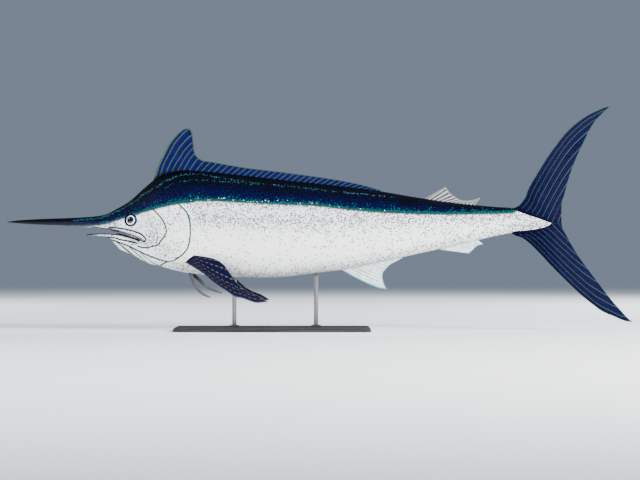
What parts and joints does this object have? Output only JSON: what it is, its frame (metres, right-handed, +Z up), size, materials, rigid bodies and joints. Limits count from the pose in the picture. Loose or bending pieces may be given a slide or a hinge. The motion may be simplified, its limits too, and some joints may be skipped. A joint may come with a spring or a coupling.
{
  "type": "black marlin model",
  "caption": "Life-size still model of a black marlin, bill, fins and forked tail spread, held level over a flat display base by short rods.",
  "frame": {"origin": "on the floor under the middle of the model's overall length, on the fish's plane of symmetry", "axes": "+X from the bill towards the tail, +Y towards the fish's right side, +Z up"},
  "size_m": [3.446, 0.5746, 1.24],
  "materials": {
    "bill": "satin dark blue-black",
    "head": "satin navy above, silvery grey below",
    "lower_jaw": "satin silver grey",
    "throat": "satin white",
    "mouth": "satin dark",
    "gill_cover": "satin silver",
    "eye": "polished",
    "trunk": "satin, blue-black above, silver flank, white belly",
    "tail": "satin, dark above and silver below",
    "dorsal_fin": "satin cobalt blue",
    "small_fin": "satin grey",
    "anal_fin": "satin pale grey",
    "dark_fin": "satin navy",
    "stand_base": "painted matt black board",
    "stand_metal": "brushed"
  },
  "bodies": {
    "root": {"bill": "bill", "head": "head", "lower_jaw": "lower_jaw", "throat": "throat", "tongue": "mouth", "gill_cover_left": "gill_cover", "gill_cover_right": "gill_cover", "eye_left": "eye", "eye_right": "eye", "trunk": "trunk", "tail": "tail", "dorsal_fin_first": "dorsal_fin", "dorsal_fin_second": "small_fin", "anal_fin_first": "anal_fin", "anal_fin_second": "anal_fin", "caudal_fin_upper": "dark_fin", "caudal_fin_lower": "dark_fin", "pectoral_fin_left": "dark_fin", "pectoral_fin_right": "dark_fin", "pelvic_fin_left": "small_fin", "pelvic_fin_right": "small_fin", "stand_base": "stand_base", "stand_rod_front": "stand_metal", "stand_rod_rear": "stand_metal", "stand_collar_front": "stand_metal", "stand_collar_rear": "stand_metal"}
  },
  "joints": []
}
